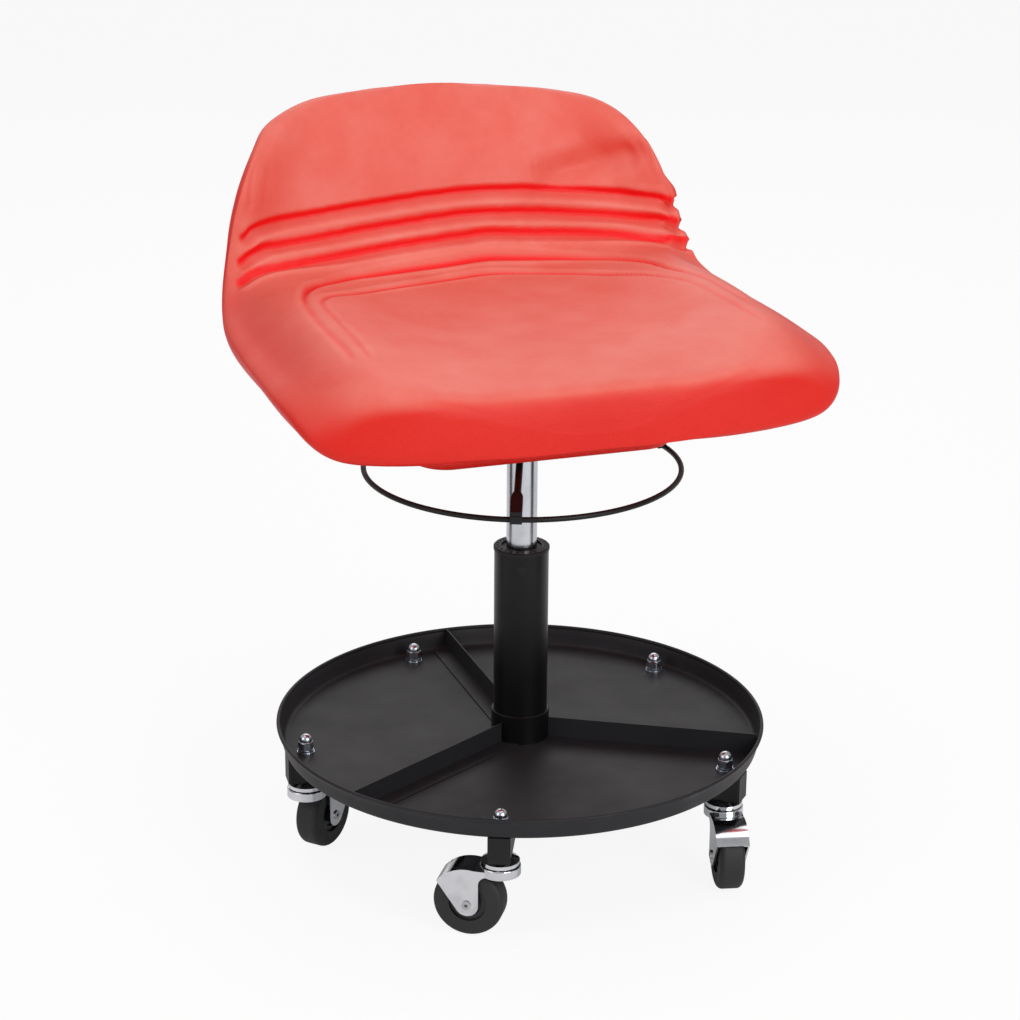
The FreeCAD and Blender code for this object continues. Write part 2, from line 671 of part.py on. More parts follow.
# Release lever and ring
lever = tube(lever_outer_radius, lever_inner_radius, lever_bottom, lever_top)
lever = lever.fuse(along_front(-lever_outer_radius + lever_sheet,
                               lever_outer_radius - lever_sheet, lever_bar_width,
                               lever_bottom, lever_top))
lever = lever.fuse(along_front(lever_outer_radius - lever_bar_width, fulcrum_distance,
                               fulcrum_eye_length, lever_bottom, lever_top))
lever = lever.fuse(cross_rod(fulcrum_eye_radius, fulcrum_eye_length / 2, fulcrum, across))
lever = lever.cut(cross_rod(fulcrum_pin_radius + running_gap, fulcrum_pin_length, fulcrum,
                            across))
save("release_lever", lever)
save("release_ring", Part.makeTorus(ring_radius, ring_wire_radius, V(0, 0, ring_height), Z))


def rod_between(start, end, radius):
    line = end - start
    return Part.makeCylinder(radius, line.Length, start, line.normalize())


arm_foot = V(ring_radius, 0, ring_height + ring_wire_radius + arm_wire_radius - running_gap)
knee = V(arm_knee_radius, 0, lever_bottom - arm_knee_drop)
shoulder = V(arm_top_radius, 0, lever_bottom)
slope = (arm_foot - knee).normalize()
clip_start = arm_foot - slope * clip_length
arm = rod_between(shoulder, knee, arm_wire_radius)
arm = arm.fuse(Part.makeSphere(arm_wire_radius, knee))
arm = arm.fuse(rod_between(knee, clip_start, arm_wire_radius))
arm = arm.common(cylinder(ring_radius, ring_height, lever_bottom))
clip_end = arm_foot + slope * clip_overhang
upward = V(-slope.z, 0, slope.x)


def clip_section(at, half_width, half_height):
    side = Y * half_width
    rise = upward * half_height
    corners = [at - side - rise, at + side - rise, at + side + rise, at - side + rise]
    return Part.makePolygon(corners + corners[:1])


clip = Part.makeLoft([
    clip_section(clip_start - slope * arm_wire_radius, clip_width * clip_nose_share / 2,
                 clip_height * clip_nose_share / 2 + arm_wire_radius / 2),
    clip_section(clip_start + slope * arm_wire_radius, clip_width / 2, clip_height / 2),
    clip_section(clip_end, clip_width / 2, clip_height / 2),
], True, True)
foot = Part.makeBox(clip_foot + clip_foot, clip_width, clip_foot + ring_wire_radius,
                    V(ring_radius - clip_foot, -clip_width / 2,
                      ring_height - ring_wire_radius - body_gap))
clip = clip.fuse(foot)
clip = clip.cut(rod_between(knee, clip_start, arm_wire_radius))
arms = []
clips = []
ring_solid = Part.makeTorus(ring_radius, ring_wire_radius, V(0, 0, ring_height), Z)
for angle in arm_angles:
    arms.append(turned(arm, angle))
    clips.append(turned(clip, angle).cut(ring_solid))
save("release_arms", group(arms))
save("release_clips", group(clips))


# Seat cushion
def cubic_span(before, start, end, after):
    """One span of a smooth closed curve, held tight where the points are close."""
    entry = math.sqrt((start - before).Length)
    length = math.sqrt((end - start).Length)
    leaving = math.sqrt((after - end).Length)
    first = (end * entry ** 2 - before * length ** 2 + start * (
        2 * entry ** 2 + 3 * entry * length + length ** 2)) * (
            1 / (3 * entry * (entry + length)))
    second = (start * leaving ** 2 - after * length ** 2 + end * (
        2 * leaving ** 2 + 3 * leaving * length + length ** 2)) * (
            1 / (3 * leaving * (leaving + length)))
    span = Part.BezierCurve()
    span.setPoles([start, first, second, end])
    return span.toShape()


def seat_section(station):
    y, z, tilt = station[:3]
    crown, under = station[3], station[-1]
    a = math.radians(tilt)
    normal = V(0, -math.sin(a), math.cos(a))
    half = [(crown[0] * dish_width_share, crown[1] * dish_rise_share)] + list(station[3:])
    right = [V(x, y, z) + normal * offset for x, offset in half]
    left = [V(-p.x, p.y, p.z) for p in right]
    points = [V(0, y, z)] + right + [V(0, y, z) + normal * under[1]] + left[::-1]
    count = len(points)
    return Part.Wire([cubic_span(points[k - 1], points[k], points[(k + 1) % count],
                                 points[(k + 2) % count]) for k in range(count)])


def first_hit(body, start, direction, reach):
    """Where a straight line from outside first meets the body."""
    inside = body.common(Part.makeLine(start, start + direction * reach))
    return min([v.Point for v in inside.Vertexes], key=lambda p: (p - start).Length)


def groove_along(half, lift, radius):
    points = [p + lift for p in half]
    points = points + [V(-p.x, p.y, p.z) for p in points[:-1]][::-1]
    start = Part.makeCircle(radius, points[0], points[1] - points[0])
    return Part.makePolygon(points).makePipeShell([Part.Wire([start])], True, False, 1)


cushion = Part.makeLoft([seat_section(s) for s in seat_stations], True, False)
seat_box = cushion.BoundBox
grooves = []
for channel in back_channels:
    line = [first_hit(cushion, V(x, 0, z), Y, seat_box.YMax) for x, z in channel]
    grooves.append(groove_along(line, Y * -back_channel_lift, back_channel_radius))
for channel in pan_channels:
    line = [first_hit(cushion, V(x, y, seat_box.ZMax), -Z, seat_box.ZLength)
            for x, y in channel]
    grooves.append(groove_along(line, Z * pan_channel_lift, pan_channel_radius))

boss = plate(boss_half_x, boss_half_y, boss_corner, boss_bottom, boss_root)
boss = boss.makeFillet(boss_edge, [e for e in boss.Edges if e.BoundBox.ZMax < boss_root])
cushion = cushion.fuse(boss)
cushion = cushion.cut(plate(pocket_half, pocket_half, pocket_corner, boss_bottom,
                            seat_plate_top))
for spot in bolt_spots:
    cushion = cushion.cut(cylinder(stem_bolt_radius, seat_plate_top,
                                   head_high + mount_bolt_length, spot))
for groove in grooves:
    cushion = cushion.cut(groove)
save("seat_cushion", cushion)
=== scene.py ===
import math
import bpy
import numpy as np
from mathutils import Matrix, Vector


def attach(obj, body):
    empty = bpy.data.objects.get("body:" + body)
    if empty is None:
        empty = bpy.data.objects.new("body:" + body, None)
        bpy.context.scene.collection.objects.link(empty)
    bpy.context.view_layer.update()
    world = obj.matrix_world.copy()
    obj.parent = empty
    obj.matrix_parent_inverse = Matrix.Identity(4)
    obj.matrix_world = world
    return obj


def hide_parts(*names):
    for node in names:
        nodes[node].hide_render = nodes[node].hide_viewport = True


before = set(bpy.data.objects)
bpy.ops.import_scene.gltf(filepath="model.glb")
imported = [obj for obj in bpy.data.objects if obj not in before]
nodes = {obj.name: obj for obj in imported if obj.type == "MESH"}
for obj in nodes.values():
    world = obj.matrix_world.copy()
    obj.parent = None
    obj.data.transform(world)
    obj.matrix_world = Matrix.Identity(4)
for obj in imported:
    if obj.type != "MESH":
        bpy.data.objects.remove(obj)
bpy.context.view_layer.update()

MM = 0.001


# Colours and finishes

def written(red, green, blue):
    """A colour from its 0 to 255 values, as the shader wants it."""
    channels = []
    for value in (red, green, blue):
        share = value / 255
        channels.append(share / 12.92 if share < 0.04045 else ((share + 0.055) / 1.055) ** 2.4)
    return (*channels, 1.0)


def new_group(name, inputs, outputs):
    group = bpy.data.node_groups.new(name, "ShaderNodeTree")
    for label, kind, value in inputs:
        socket = group.interface.new_socket(label, in_out="INPUT", socket_type=kind)
        socket.default_value = value
    for label, kind in outputs:
        group.interface.new_socket(label, in_out="OUTPUT", socket_type=kind)
    return group, group.nodes.new("NodeGroupInput"), group.nodes.new("NodeGroupOutput")


# Sockets of the mix node that share their names: first, second and result
COLOUR_MIX = (6, 7, 2)
VALUE_MIX = (2, 3, 0)


def new_mix(tree, factor, sockets):
    """A mix node for colours or for plain values, with its two inputs and its result."""
    mix = tree.nodes.new("ShaderNodeMix")
    if sockets is COLOUR_MIX:
        mix.data_type = "RGBA"
    tree.links.new(factor, mix.inputs["Factor"])
    first, second, result = sockets
    return mix.inputs[first], mix.inputs[second], mix.outputs[result]


def blend_given(group, given, result, factor, label, other, sockets):
    """Blends the inputs called label and other into the output called label."""
    first, second, blended = new_mix(group, factor, sockets)
    group.links.new(given.outputs[label], first)
    group.links.new(given.outputs[other], second)
    group.links.new(blended, result.inputs[label])


def stretched(group, value, low, high):
    """The value stretched so that low becomes 0 and high becomes 1."""
    spread = group.nodes.new("ShaderNodeMapRange")
    spread.inputs["From Min"].default_value = low
    spread.inputs["From Max"].default_value = high
    group.links.new(value, spread.inputs["Value"])
    return spread.outputs["Result"]


def coat_texture_group():
    """Grain and patches of a coated or moulded surface, in the piece's own coordinates."""
    group, given, result = new_group("coat_texture", [
        ("Colour", "NodeSocketColor", (0.5, 0.5, 0.5, 1)),
        ("Patch Colour", "NodeSocketColor", (0.4, 0.4, 0.4, 1)),
        ("Grain Scale", "NodeSocketFloat", 900.0),
        ("Patch Scale", "NodeSocketFloat", 18.0),
        ("Roughness", "NodeSocketFloat", 0.4),
        ("Patch Roughness", "NodeSocketFloat", 0.5),
    ], [("Colour", "NodeSocketColor"), ("Roughness", "NodeSocketFloat"),
        ("Height", "NodeSocketFloat")])
    link = group.links.new
    place = group.nodes.new("ShaderNodeTexCoord")
    patches = group.nodes.new("ShaderNodeTexNoise")
    patches.inputs["Detail"].default_value = 5
    patches.inputs["Roughness"].default_value = 0.6
    link(place.outputs["Object"], patches.inputs["Vector"])
    link(given.outputs["Patch Scale"], patches.inputs["Scale"])
    spread = stretched(group, patches.outputs["Fac"], 0.35, 0.68)
    grain = group.nodes.new("ShaderNodeTexNoise")
    grain.inputs["Detail"].default_value = 3
    link(place.outputs["Object"], grain.inputs["Vector"])
    link(given.outputs["Grain Scale"], grain.inputs["Scale"])
    blend_given(group, given, result, spread, "Colour", "Patch Colour", COLOUR_MIX)
    blend_given(group, given, result, spread, "Roughness", "Patch Roughness", VALUE_MIX)
    link(grain.outputs["Fac"], result.inputs["Height"])
    return group


def metal_texture_group():
    """Plated metal: fine scratches and a little dulling in soft patches."""
    group, given, result = new_group("metal_texture", [
        ("Colour", "NodeSocketColor", (0.8, 0.8, 0.8, 1)),
        ("Dull Colour", "NodeSocketColor", (0.6, 0.6, 0.6, 1)),
        ("Roughness", "NodeSocketFloat", 0.1),
        ("Dull Roughness", "NodeSocketFloat", 0.25),
        ("Scale", "NodeSocketFloat", 60.0),
    ], [("Colour", "NodeSocketColor"), ("Roughness", "NodeSocketFloat"),
        ("Height", "NodeSocketFloat")])
    link = group.links.new
    place = group.nodes.new("ShaderNodeTexCoord")
    dulling = group.nodes.new("ShaderNodeTexNoise")
    dulling.inputs["Detail"].default_value = 6
    link(place.outputs["Object"], dulling.inputs["Vector"])
    link(given.outputs["Scale"], dulling.inputs["Scale"])
    spread = stretched(group, dulling.outputs["Fac"], 0.45, 0.75)
    stretch = group.nodes.new("ShaderNodeMapping")
    stretch.inputs["Scale"].default_value = (1.0, 1.0, 0.08)
    link(place.outputs["Object"], stretch.inputs["Vector"])
    scratches = group.nodes.new("ShaderNodeTexNoise")
    scratches.inputs["Scale"].default_value = 700
    scratches.inputs["Detail"].default_value = 2
    link(stretch.outputs["Vector"], scratches.inputs["Vector"])
    blend_given(group, given, result, spread, "Colour", "Dull Colour", COLOUR_MIX)
    blend_given(group, given, result, spread, "Roughness", "Dull Roughness", VALUE_MIX)
    link(scratches.outputs["Fac"], result.inputs["Height"])
    return group


coat_texture = coat_texture_group()
metal_texture = metal_texture_group()


def start_material(name, texture, values, bump):
    """A material whose colour, roughness and bump come from a texture group. The bump is
    its strength and its distance in metres."""
    material = bpy.data.materials.new(name)
    material.use_nodes = True
    tree = material.node_tree
    shader = tree.nodes["Principled BSDF"]
    detail = tree.nodes.new("ShaderNodeGroup")
    detail.node_tree = texture
    for label, value in values.items():
        detail.inputs[label].default_value = value
    bumps = tree.nodes.new("ShaderNodeBump")
    strength, distance = bump
    bumps.inputs["Strength"].default_value = strength
    bumps.inputs["Distance"].default_value = distance
    tree.links.new(detail.outputs["Colour"], shader.inputs["Base Color"])
    tree.links.new(detail.outputs["Roughness"], shader.inputs["Roughness"])
    tree.links.new(detail.outputs["Height"], bumps.inputs["Height"])
    tree.links.new(bumps.outputs["Normal"], shader.inputs["Normal"])
    return material, tree, shader, detail, bumps


def coated(name, colour, patch_colour, roughness, patch_roughness, grain=900.0, patch=18.0,
           bump=(0.3, 0.0002), gloss=0.5):
    material, _, shader, _, _ = start_material(name, coat_texture, {
        "Colour": written(*colour), "Patch Colour": written(*patch_colour),
        "Roughness": roughness, "Patch Roughness": patch_roughness,
        "Grain Scale": grain, "Patch Scale": patch}, bump)
    shader.inputs["Specular IOR Level"].default_value = gloss
    return material


def plated(name, colour, dull_colour, roughness, dull_roughness, scale=60.0,
           bump=(0.05, 0.0001)):
    material, _, shader, _, _ = start_material(name, metal_texture, {
        "Colour": written(*colour), "Dull Colour": written(*dull_colour),
        "Roughness": roughness, "Dull Roughness": dull_roughness, "Scale": scale}, bump)
    shader.inputs["Metallic"].default_value = 1.0
    return material


def foam_skin_material():
    """Satin red skin of the moulded foam, with painted shade: a deeper, more saturated red down
    in the channels, and painted light and sheen: a paler coral where the skin faces up or
    forward.
    """
    material, tree, shader, detail, bumps = start_material("red_foam_skin", coat_texture, {
        "Colour": written(225, 37, 25), "Patch Colour": written(219, 31, 21),
        "Roughness": 0.45, "Patch Roughness": 0.54,
        "Grain Scale": 520.0, "Patch Scale": 9.0}, (0.35, 0.0003))
    shader.inputs["Specular IOR Level"].default_value = 0.28
    link = tree.links.new
    # painted shade: the channels are painted a deeper, more saturated red for their shade and the
    # red light bounced inside them
    depth = tree.nodes.new("ShaderNodeAttribute")
    depth.attribute_name = "channel_painted_shade"
    flat_colour, painted_shade_colour, skin_colour = new_mix(tree, depth.outputs["Fac"], COLOUR_MIX)
    painted_shade_colour.default_value = written(244, 16, 20)
    # painted light and sheen: the surfaces that face up, and the backrest's front, are painted a
    # paler coral red than the edges, with random paler patches
    painted_light_mask = tree.nodes.new("ShaderNodeAttribute")
    painted_light_mask.attribute_name = "painted_light_and_sheen"
    unlit_colour, lit_colour, surface = new_mix(tree, painted_light_mask.outputs["Fac"], COLOUR_MIX)
    sheen_patches = tree.nodes.new("ShaderNodeGroup")
    sheen_patches.node_tree = coat_texture
    sheen_patches.inputs["Colour"].default_value = written(234, 108, 93)
    sheen_patches.inputs["Patch Colour"].default_value = written(239, 128, 114)
    sheen_patches.inputs["Patch Scale"].default_value = 16.0
    link(sheen_patches.outputs["Colour"], lit_colour)
    link(detail.outputs["Colour"], unlit_colour)
    link(surface, flat_colour)
    link(skin_colour, shader.inputs["Base Color"])
    # the skin's cells add a leather-like grain over the fine one
    place = tree.nodes.new("ShaderNodeTexCoord")
    cells = tree.nodes.new("ShaderNodeTexVoronoi")
    cells.inputs["Scale"].default_value = 420
    link(place.outputs["Object"], cells.inputs["Vector"])
    both = tree.nodes.new("ShaderNodeMath")
    both.operation = "ADD"
    link(cells.outputs["Distance"], both.inputs[0])
    link(detail.outputs["Height"], both.inputs[1])
    link(both.outputs["Value"], bumps.inputs["Height"])
    return material


foam_skin = foam_skin_material()
finishes = {
    "tray_powder_coat": coated("tray_powder_coat", (39, 38, 41), (34, 33, 36), 0.46, 0.54,
                               grain=650.0, patch=14.0, bump=(0.25, 0.0002), gloss=0.25),
    "black_powder_coat": coated("black_powder_coat", (15, 14, 15), (12, 12, 13), 0.28, 0.36,
                                grain=500.0, patch=25.0, bump=(0.1, 0.0002), gloss=0.25),
    "chrome_plate": plated("chrome_plate", (224, 226, 230), (204, 206, 211), 0.08, 0.15),
    "stem_chrome": plated("stem_chrome", (204, 206, 212), (190, 192, 199), 0.2, 0.27),
    "nut_zinc": plated("nut_zinc", (206, 211, 219), (180, 186, 196), 0.24, 0.34),
    "zinc_steel": plated("zinc_steel", (196, 198, 200), (160, 162, 166), 0.24, 0.38),
    "black_plastic": coated("black_plastic", (24, 24, 25), (19, 19, 20), 0.42, 0.52,
                            grain=1400.0, patch=40.0, gloss=0.3),
    "black_wire_coat": coated("black_wire_coat", (20, 20, 21), (15, 15, 16), 0.4, 0.5,
                              grain=900.0, patch=60.0, bump=(0.15, 0.0001), gloss=0.3),
    "seal_plastic": coated("seal_plastic", (60, 60, 62), (50, 50, 52), 0.4, 0.5),
    "black_rubber": coated("black_rubber", (30, 30, 31), (38, 38, 38), 0.55, 0.68,
                           grain=1100.0, patch=70.0, bump=(0.3, 0.0003)),
    "wheel_plastic": coated("wheel_plastic", (33, 33, 34), (27, 27, 28), 0.34, 0.44,
                            grain=1300.0, patch=50.0),
    "red_foam_skin": foam_skin,
}

finish_nodes = {
    "tray_powder_coat": ("tray", "tray_dividers"),
    "black_powder_coat": ("hub_tube", "column_tube", "leg_1", "leg_2", "leg_3", "leg_4", "leg_5"),
    "black_plastic": ("leg_end_caps", "guide_bush", "release_clips"),
    "nut_zinc": ("tray_washers", "tray_spring_washers", "tray_acorn_nuts"),
    "chrome_plate": ("caster_cups", "caster_stem_bolts"),
    "stem_chrome": ("stem_tube",),
    "black_wire_coat": ("release_ring", "release_arms", "release_lever", "seat_mount"),
    "seal_plastic": ("rod_guide", "gas_piston"),
    "black_rubber": ("rod_bumper",),
    "red_foam_skin": ("seat_cushion",),
}
node_finish = {name: finish for finish, names in finish_nodes.items() for name in names}
caster_finish = {"fork": "chrome_plate", "tyre": "black_rubber", "hub": "wheel_plastic"}
for name, piece in nodes.items():
    # the casters' pieces are numbered, the rest of their name says what they are
    kind = name.rsplit("_", 1)[-1]
    finish = caster_finish.get(kind) or node_finish.get(name, "zinc_steel")
    piece.data.materials.clear()
    piece.data.materials.append(finishes[finish])


# Seat cushion
# Each station of the cushion: position of the sitting surface on the centre line
# (y, z) and the tilt of that surface, then for the right-hand side of the section
# the crown, the roll, the widest point, the lower edge and the underside, each as
# x, offset. Offsets are square to the surface. Millimetres and degrees.
seat_stations = np.array([
    (-193.5, 461.0, 0.0, 29, 0.0, 40, 0.0, 47.5, -6.0, 44.5, -14.5, 35.5, -16.5),
    (-192.0, 472.5, 0.0, 61, 0.0, 80, -2.0, 90, -15.0, 86, -25.0, 74.5, -28.5),
    (-189.0, 484.0, 0.0, 96, 0.0, 119, -5.0, 130, -26.0, 126, -35.0, 111.5, -39.5),
    (-184.5, 492.0, 0.0, 122, 0.0, 150, -8.0, 164, -35.5, 160, -43.5, 142, -48.5),
    (-178.0, 496.0, 0.0, 142, 1.0, 174.5, -11.0, 193.5, -41.0, 189.5, -48.5, 168.5, -54.0),
    (-166.5, 498.5, 0.0, 162, 3.0, 201, -13.0, 223, -42.5, 219, -50.0, 193, -57.0),
    (-149.0, 500.0, 0.0, 178, 7.0, 218, -11.5, 240, -34.0, 236, -44.0, 208, -57.5),
    (-120.0, 501.5, 0.0, 188, 12.0, 229, -9.0, 249, -23.5, 245, -35.0, 216, -57.0),
    (-75.0, 502.0, 0.0, 194, 16.0, 235, -7.0, 253.5, -19.0, 248, -32.0, 219, -58.0),
    (-10.0, 502.5, 0.0, 195.5, 17.0, 235, -7.5, 253.0, -17.5, 247, -31.5, 218, -59.5),
    (60.0, 503.0, 0.0, 194.5, 16.0, 233, -8.5, 249.5, -17.5, 244.5, -34.0, 215, -61.5),
    (120.0, 503.5, 3.0, 190, 14.0, 227.5, -6.0, 243, -15.0, 238, -35.5, 209.5, -63.5),
    (155.0, 505.5, 12.0, 185.5, 12.0, 221, -0.5, 235.5, -9.0, 231.5, -33.0, 203, -62.5),
    (182.0, 514.0, 27.0, 184, 11.0, 213.5, 7.0, 227, 0.0, 223, -27.0, 195.5, -57.5),
    (200.0, 532.0, 45.0, 182, 10.0, 207, 16.5, 219.5, 12.5, 215.5, -18.5, 189.5, -49.0),
    (212.5, 553.0, 61.0, 168, 7.0, 201, 23.5, 214.5, 23.5, 210.5, -10.0, 185, -41.0),
    (221.5, 577.0, 67.0, 152, 5.5, 192, 25.5, 206.5, 28.0, 203.5, -5.0, 178, -36.0),
    (230.0, 599.0, 68.0, 143, 5.5, 182, 25.5, 196.5, 28.0, 193.5, -4.0, 168, -33.0),
    (239.0, 618.0, 67.0, 132, 5.5, 170, 21.5, 184.5, 22.0, 181.5, -4.5, 156, -30.5),
    (248.5, 634.0, 63.0, 120, 3.5, 156, 13.0, 171.5, 10.0, 168.5, -8.0, 143.5, -28.0),
    (257.5, 648.0, 58.0, 108, 2.0, 131.5, 6.0, 148.5, -0.5, 145.5, -11.0, 122.5, -25.0),
    (264.5, 658.0, 56.0, 72, -1.0, 99.5, -1.5, 116, -7.0, 113, -13.0, 95, -22.0),
    (269.5, 664.5, 56.0, 40, -5.0, 60, -8.5, 70.5, -13.0, 68.5, -17.0, 56.5, -20.5),
])
# Channels across the back as x, y, z, from the left end to the right
back_channels = [
    [(-212, 189, 548), (-205, 189, 551), (-199, 191, 556), (-191, 197, 558.4),
     (-171, 207, 560), (-137, 212, 562.5), (-97, 214, 566), (-58, 217, 568.3),
     (-17, 219, 571.2), (22, 220, 572.1), (62, 218, 571.8), (101, 215, 569.5),
     (141, 213, 565.4), (180, 205, 561), (196, 193, 559.4), (211, 189, 557),
     (217, 192, 555), (221, 196, 553), (224, 204, 551), (225, 212, 549)],
    [(-216, 185, 528), (-211, 184, 529.5), (-204, 186, 534), (-199, 187, 536.7),
     (-187, 192, 539.4), (-168, 196, 540.7), (-120, 203, 543.6), (-81, 207, 546.5),
     (-40, 210, 549), (0, 212, 551.6), (39, 211, 552.2), (79, 209, 550.7),
     (119, 205, 547.8), (158, 200, 544.5), (188, 192, 540.7), (205, 187, 538.8),
     (217, 188, 536), (222, 189, 533), (227, 193, 531), (229, 200, 529), (229, 208, 527)],
    [(-221, 172, 512), (-215, 171, 514), (-208, 173, 518), (-200, 174.5, 521),
     (-191, 175.5, 523), (-173, 178.5, 524.5), (-145, 185, 525.1), (-104, 192, 527.1),
     (-64, 197, 529.8), (-24, 200, 532), (17, 201.5, 534.4), (37, 201.5, 535),
     (76, 198, 532.8), (115, 194, 530.7), (153, 187, 528), (183, 178, 524.6),
     (200, 176, 522), (213, 177, 519), (222, 178, 516.5), (229, 181, 513.5),
     (232, 187, 511), (233, 194, 509)],
]
# Channels round the pan as x, y
pan_channels = [
    [(-189, -114), (-188, -85), (-189, -43), (-189, -7), (-188, 20), (-186, 45),
     (-182, 68), (-175, 92), (-160, 121), (-137, 144.5), (-114, 160), (-93, 166),
     (-51, 174.5), (-11, 179), (25, 182), (49, 179.5), (87, 172), (105, 166.5),
     (122, 158), (138, 146), (152, 129), (163, 108), (170, 77), (180, 50), (187, 28),
     (190, -8), (193, -42), (198, -74)],
    [(-173, -110), (-172, -60), (-172, -16), (-171, 12), (-171, 36), (-169, 56),
     (-164, 71), (-154, 86), (-130, 105), (-107, 120), (-63, 138), (-20, 151),
     (12, 156), (30, 154.5), (57, 146), (91, 129), (107, 118), (122, 104),
     (144, 81), (155, 62), (165, 38), (172, 10), (175, -25), (179, -65), (183, -100),
     (186, -116)],
]
# Long soft folds that wear has left, as x, y, z, with their depth and width
folds = [
    ([(86, 222, 577), (130, 223, 584), (160, 222, 590), (180, 212, 596), (199, 202, 602)],
     10.0, 15.0),
    ([(-186, 204, 618), (-192, 200, 606), (-196, 194, 590), (-198, 191, 573)], 0.8, 3.0),
    ([(-172, 212, 620), (-179, 210, 600), (-184, 205, 579), (-185, 203, 566)], 0.7, 4.0),
    ([(-91, 250, 640), (-89, 238, 618), (-86, 229, 600)], 0.8, 7.0),
]


def smooth_rows(at, rows, wanted):
    """Rows of numbers between stations, on a monotone cubic."""
    step = np.diff(at)[:, None]
    slope = np.diff(rows, axis=0) / step
    lean = np.zeros_like(rows)
    before = 2 * step[1:] + step[:-1]
    after = step[1:] + 2 * step[:-1]
    level = slope[:-1] * slope[1:] > 0
    safe_in = np.where(level, slope[:-1], 1)
    safe_out = np.where(level, slope[1:], 1)
    lean[1:-1] = np.where(level, (before + after) / (before / safe_in + after / safe_out), 0)
    lean[0], lean[-1] = slope[0], slope[-1]
    k = np.clip(np.searchsorted(at, wanted, side="right") - 1, 0, len(at) - 2)
    h = (at[k + 1] - at[k])[:, None]
    s = ((wanted - at[k]) / (at[k + 1] - at[k]))[:, None]
    return (rows[k] * (1 + 2 * s) * (1 - s) ** 2 + lean[k] * h * s * (1 - s) ** 2
            + rows[k + 1] * s * s * (3 - 2 * s) + lean[k + 1] * h * s * s * (s - 1))


def smooth_line(points, counts, closed):
    """Points on a smooth curve through the given ones, so many in each span."""
    points = np.array(points, float)
    last = len(points)
    line = []
    for k in range(last if closed else last - 1):
        if closed:
            p0, p1, p2, p3 = (points[(k + j - 1) % last] for j in range(4))
        else:
            p0, p1, p2, p3 = (points[min(max(k + j - 1, 0), last - 1)] for j in range(4))
        t1 = max(np.linalg.norm(p1 - p0), 1e-6) ** 0.5
        t2 = t1 + max(np.linalg.norm(p2 - p1), 1e-6) ** 0.5
        t3 = t2 + max(np.linalg.norm(p3 - p2), 1e-6) ** 0.5
        t = np.linspace(t1, t2, counts[k], endpoint=False)[:, None]
        a1 = (t1 - t) / t1 * p0 + t / t1 * p1
        a2 = (t2 - t) / (t2 - t1) * p1 + (t - t1) / (t2 - t1) * p2
        a3 = (t3 - t) / (t3 - t2) * p2 + (t - t2) / (t3 - t2) * p3
        b1 = (t2 - t) / t2 * a1 + t / t2 * a2
        b2 = (t3 - t) / (t3 - t1) * a2 + (t - t1) / (t3 - t1) * a3
        line.append((t2 - t) / (t2 - t1) * b1 + (t - t1) / (t2 - t1) * b2)
    if not closed:
        line.append(points[-1:])
    return np.concatenate(line)


# Points in each span of half a ring, from the middle of the top to that of the underside
span_counts = [36, 30, 20, 12, 7, 8, 14]
top_count = sum(span_counts[:4])
ring_step = 2.1
width_share = 0.25          # of a change in width that counts as way along the cushion
dish_share = (0.55, 0.3)    # of the crown, where the middle of the dish turns up to it
crest_lean = 0.022          # drop of the crest to the right, mm for each mm
even_rounds, even_ends = 6, 12


def cushion_grid():
    """The cushion's surface as rings across it, from the nose to the crest."""
    run = np.hypot(np.diff(seat_stations[:, 0]), np.diff(seat_stations[:, 1]))
    run = run + np.abs(np.diff(seat_stations[:, 7])) * width_share
    at = np.concatenate([[0], np.cumsum(run)])
    wanted = np.linspace(0, at[-1], int(at[-1] / ring_step))
    rings = []
    for y, z, tilt, *half in smooth_rows(at, seat_stations, wanted):
        half = np.array(half).reshape(-1, 2)
        dish = half[0] * dish_share
        right = [(0, 0), tuple(dish)] + [tuple(p) for p in half]
        loop = right + [(0, half[-1][1])] + [(-x, o) for x, o in right[:0:-1]]
        ring = smooth_line(loop, span_counts + span_counts[::-1], True)
        turn = math.radians(tilt)
        rings.append(np.stack([ring[:, 0], y - math.sin(turn) * ring[:, 1],
                               z + math.cos(turn) * ring[:, 1]], axis=-1))
    grid = np.array(rings)
    # the crest leans a little to one side
    lean = step_up(grid[:, :, 2], 638, 662) * (1 - step_up(np.abs(grid[:, :, 0]), 125, 165))
    grid[:, :, 2] -= crest_lean * grid[:, :, 0] * lean
    inner = slice(even_ends, -even_ends)
    before, after = (slice(even_ends + k, k - even_ends) for k in (-1, 1))
    for _ in range(even_rounds):
        grid[inner] = (grid[before] + 2 * grid[inner] + grid[after]) / 4
    return grid


def grid_normals(grid):
    along = np.gradient(grid, axis=0)
    across = (np.roll(grid, -1, axis=1) - np.roll(grid, 1, axis=1)) / 2
    normal = np.cross(across, along)
    return normal / np.maximum(np.linalg.norm(normal, axis=2, keepdims=True), 1e-9)


def drop_on(points, cloud, axes):
    """Points near the surface that the cloud samples, put onto it. The axes are those that
    tell how near a point is, and where there are two they stay as drawn."""
    out = []
    neighbours = 6
    for point in points:
        gap = ((cloud[:, axes] - point) ** 2).sum(1)
        near = np.argpartition(gap, neighbours)[:neighbours]
        weight = 1 / (gap[near] + 0.05)
        place = (cloud[near] * weight[:, None]).sum(0) / weight.sum()
        if len(axes) == 2:
            place[list(axes)] = point
        out.append(place)
    return np.array(out)


def eased(points):
    """A smooth line through the points, in steps of about 5 mm."""
    step = 5
    spans = np.linalg.norm(np.diff(np.array(points, float), axis=0), axis=1)
    return smooth_line(points, [max(2, int(span / step)) for span in spans], False)


